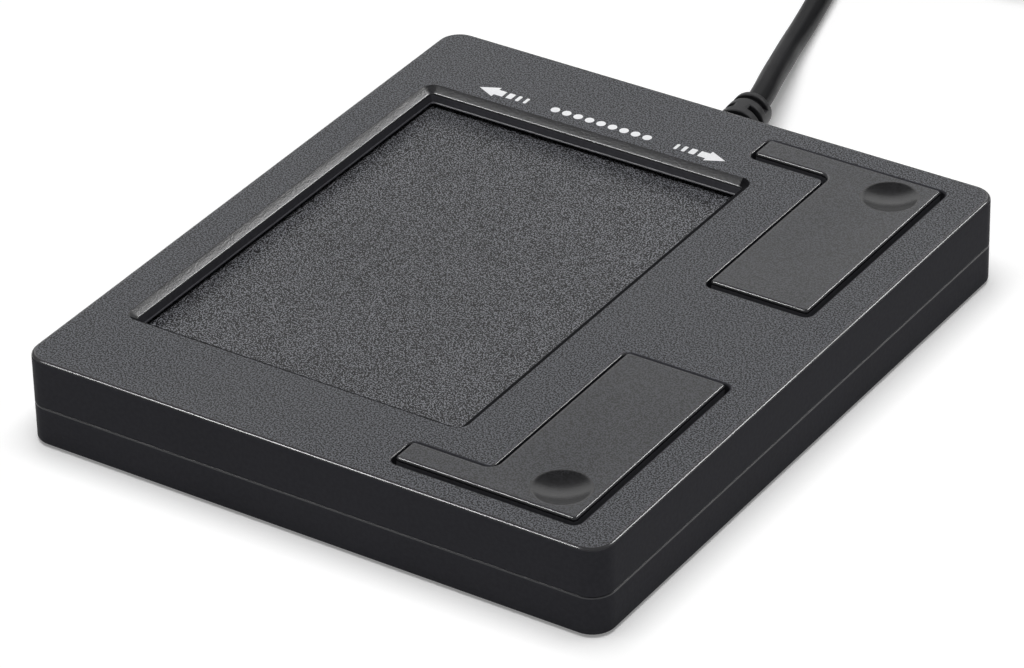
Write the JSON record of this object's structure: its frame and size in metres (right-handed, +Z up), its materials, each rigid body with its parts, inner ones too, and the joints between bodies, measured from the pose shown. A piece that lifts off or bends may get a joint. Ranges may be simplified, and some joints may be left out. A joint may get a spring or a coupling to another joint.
{
  "type": "touch pad",
  "caption": "Wired desk touch pad: a thin dark box with a sunken touch window, L-shaped click buttons down one side and a cable from its back edge.",
  "frame": {"origin": "middle of the casing in plan, on the desk under the rubber feet", "axes": "+Z up from the desk, +Y to the back edge where the cable leaves, +X to the side with the buttons"},
  "size_m": [0.0835, 0.2108, 0.0159],
  "materials": {
    "case_top": "moulded plastic with a fine spark-eroded grain",
    "case_base": "moulded plastic with a fine grain",
    "button_plastic": "moulded plastic with a fine grain",
    "touch_film": "textured plastic film",
    "adhesive": "clear adhesive film",
    "foam_tape": "soft black foam tape",
    "circuit_board": "green solder mask",
    "chip_epoxy": "moulded epoxy",
    "capacitor_tan": "fired ceramic",
    "connector_nylon": "moulded nylon",
    "ribbon": "flat flexible cable",
    "plain_steel": "tinned or stainless sheet",
    "dome_bronze": "spring bronze",
    "wire_red": "soft insulation",
    "wire_white": "soft insulation",
    "wire_green": "soft insulation",
    "wire_black": "soft insulation",
    "switch_black": "moulded plastic",
    "boot_rubber": "soft moulded rubber",
    "cable_jacket": "soft satin jacket",
    "strap": "woven strap",
    "plug_grip": "moulded grip",
    "plug_tongue": "moulded plastic",
    "contact_gold": "gold-plated contacts",
    "screw_steel": "zinc-plated steel",
    "foot_rubber": "soft non-slip rubber"
  },
  "bodies": {
    "casing": {"top_shell": "case_top", "bottom_shell": "case_base", "touch_film": "touch_film", "film_adhesive": "adhesive", "sensor_tape_frame": "foam_tape", "sensor_board": "circuit_board", "touch_chip": "chip_epoxy", "sensor_capacitors": "capacitor_tan", "sensor_ribbon_socket": "connector_nylon", "ribbon_cable": "ribbon", "main_board": "circuit_board", "main_ribbon_socket": "connector_nylon", "usb_chip": "chip_epoxy", "crystal": "plain_steel", "chip_capacitors": "capacitor_tan", "chip_resistors": "chip_epoxy", "wire_header": "connector_nylon", "wire_plug": "connector_nylon", "wire_red": "wire_red", "wire_white": "wire_white", "wire_green": "wire_green", "wire_black": "wire_black", "front_switch_case": "switch_black", "back_switch_case": "switch_black", "front_switch_cover": "plain_steel", "back_switch_cover": "plain_steel", "front_switch_dome": "dome_bronze", "back_switch_dome": "dome_bronze", "front_switch_legs": "plain_steel", "back_switch_legs": "plain_steel", "cable_run": "cable_jacket", "cable_coil": "cable_jacket", "cable_tail": "cable_jacket", "cable_tie": "strap", "plug_body": "plug_grip", "plug_shell": "plain_steel", "plug_tongue": "plug_tongue", "plug_contacts": "contact_gold", "strain_relief": "boot_rubber", "case_screws": "screw_steel", "board_screws": "screw_steel", "rubber_feet": "foot_rubber"},
    "front_button": {"front_button": "button_plastic"},
    "back_button": {"back_button": "button_plastic"},
    "front_plunger": {"front_switch_plunger": "switch_black"},
    "back_plunger": {"back_switch_plunger": "switch_black"}
  },
  "joints": [
    {"name": "front_button_press", "type": "hinge", "parent": "casing", "child": "front_button", "pos_m": [0.0258, -0.01025, 0.00825], "axis": [1, 0, 0], "range_deg": [0, 0.7], "stiffness_Nm_per_rad": 1, "springref_deg": -1.15},
    {"name": "back_button_press", "type": "hinge", "parent": "casing", "child": "back_button", "pos_m": [0.0258, 0.01025, 0.00825], "axis": [-1, 0, 0], "range_deg": [0, 0.7], "stiffness_Nm_per_rad": 1, "springref_deg": -1.15},
    {"name": "front_switch_press", "type": "slide", "parent": "casing", "child": "front_plunger", "axis": [0, 0, -1], "range_m": [0, 0.0004], "deforming": ["front_switch_dome"]},
    {"name": "back_switch_press", "type": "slide", "parent": "casing", "child": "back_plunger", "axis": [0, 0, -1], "range_m": [0, 0.0004], "deforming": ["back_switch_dome"]}
  ],
  "couplings": [
    {"joint": "front_switch_press", "follows": "front_button_press", "m_per_rad": 0.02465},
    {"joint": "back_switch_press", "follows": "back_button_press", "m_per_rad": 0.02465}
  ]
}
